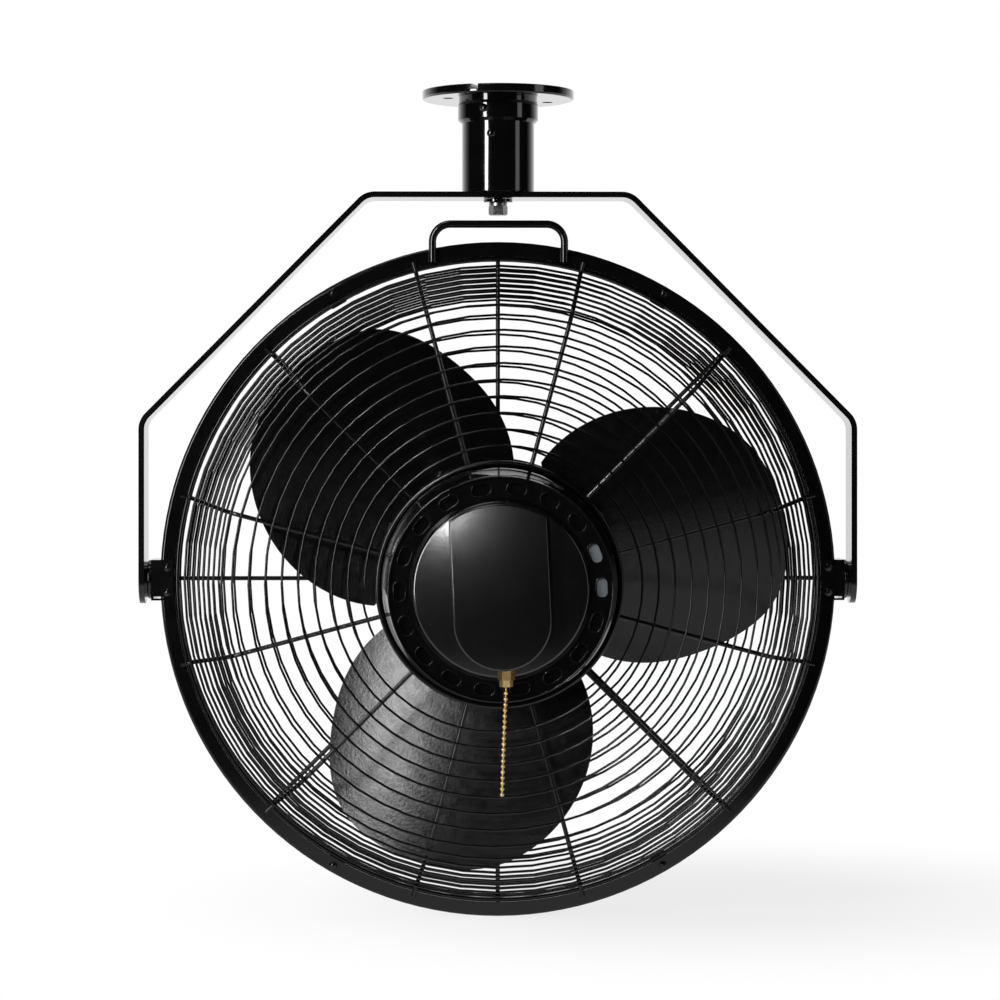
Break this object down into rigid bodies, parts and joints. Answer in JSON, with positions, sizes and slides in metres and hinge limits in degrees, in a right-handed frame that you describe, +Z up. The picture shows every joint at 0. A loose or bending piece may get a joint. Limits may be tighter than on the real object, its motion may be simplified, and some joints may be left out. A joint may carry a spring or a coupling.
{
  "type": "ceiling mount fan",
  "caption": "Black ceiling mount fan: plate and neck, swivelling flat-bar yoke, tilting hoop with spiral wire guards, paddle blades, motor and brass pull chain.",
  "frame": {"origin": "centre of the ceiling plate's top face", "axes": "+Z up to the ceiling, motor side along -Y, tilt axis along X"},
  "size_m": [0.5648, 0.2177, 0.6519],
  "materials": {
    "gloss_black_paint": "gloss black paint",
    "yoke_black_paint": "semi-gloss black paint",
    "hoop_black_powder": "satin black powder coat",
    "wire_black_coat": "satin-gloss black coat on wire",
    "blade_black_powder": "black powder coat with a leathery grain",
    "motor_black_gloss": "gloss black paint",
    "cover_black_texture": "satin black coat with a fine grain",
    "zinc_steel": "zinc plated",
    "machined_steel": "ground steel",
    "core_iron": "laminated iron",
    "cast_aluminium": "as cast",
    "winding_copper": "varnished copper wire",
    "black_plastic": "matte",
    "black_rubber": "matte",
    "chain_brass": "bright brass"
  },
  "bodies": {
    "ceiling_mount": {"ceiling_plate": "gloss_black_paint", "mount_collar": "gloss_black_paint", "neck_tube": "gloss_black_paint", "tube_plug": "zinc_steel", "neck_screws": "gloss_black_paint", "bolt_washer": "gloss_black_paint", "lock_washer": "zinc_steel", "swivel_bolt": "zinc_steel"},
    "yoke": {"yoke_bar": "yoke_black_paint", "tilt_washers": "yoke_black_paint", "tilt_screws": "yoke_black_paint", "tilt_nuts": "yoke_black_paint"},
    "fan_head": {"hoop": "hoop_black_powder", "right_bracket": "yoke_black_paint", "left_bracket": "yoke_black_paint", "bracket_rivets": "yoke_black_paint", "carry_handle": "yoke_black_paint", "guard_screws": "hoop_black_powder", "guard_clips": "hoop_black_powder", "front_guard_spiral": "wire_black_coat", "front_guard_spokes": "wire_black_coat", "front_guard_eye_ring": "wire_black_coat", "front_guard_rim_ring": "wire_black_coat", "rear_guard_spiral": "wire_black_coat", "rear_guard_spokes": "wire_black_coat", "rear_guard_eye_ring": "wire_black_coat", "rear_guard_rim_ring": "wire_black_coat", "rear_cap": "motor_black_gloss", "motor_dish": "motor_black_gloss", "motor_shell": "motor_black_gloss", "front_bell": "motor_black_gloss", "front_bearing": "machined_steel", "rear_bearing": "machined_steel", "stator_core": "core_iron", "stator_windings": "winding_copper", "stator_bolts": "zinc_steel", "motor_cover": "cover_black_texture", "switch_box": "cover_black_texture", "capacitor": "black_plastic", "cord_gland": "black_rubber", "chain_socket": "chain_brass", "chain_nut": "chain_brass", "pull_switch": "black_plastic"},
    "rotor": {"shaft": "machined_steel", "rotor_core": "core_iron", "blade_hub": "cast_aluminium", "hub_screw": "machined_steel", "blade_1": "blade_black_powder", "blade_2": "blade_black_powder", "blade_3": "blade_black_powder", "blade_rivets": "blade_black_powder"},
    "pull_chain_body": {"switch_plunger": "chain_brass", "pull_chain": "chain_brass"}
  },
  "joints": [
    {"name": "swivel", "type": "hinge", "parent": "ceiling_mount", "child": "yoke", "pos_m": [0, 0, -0.0832], "axis": [0, 0, 1], "continuous": true},
    {"name": "tilt", "type": "hinge", "parent": "yoke", "child": "fan_head", "pos_m": [0, 0, -0.3858], "axis": [1, 0, 0], "range_deg": [-90, 90]},
    {"name": "spin", "type": "hinge", "parent": "fan_head", "child": "rotor", "pos_m": [0, 0, -0.3858], "axis": [0, 0.9998, 0.0218], "continuous": true},
    {"name": "pull", "type": "slide", "parent": "fan_head", "child": "pull_chain_body", "axis": [0, 0.0218, -0.9998], "range_m": [0, 0.01], "stiffness_N_per_m": 400}
  ]
}
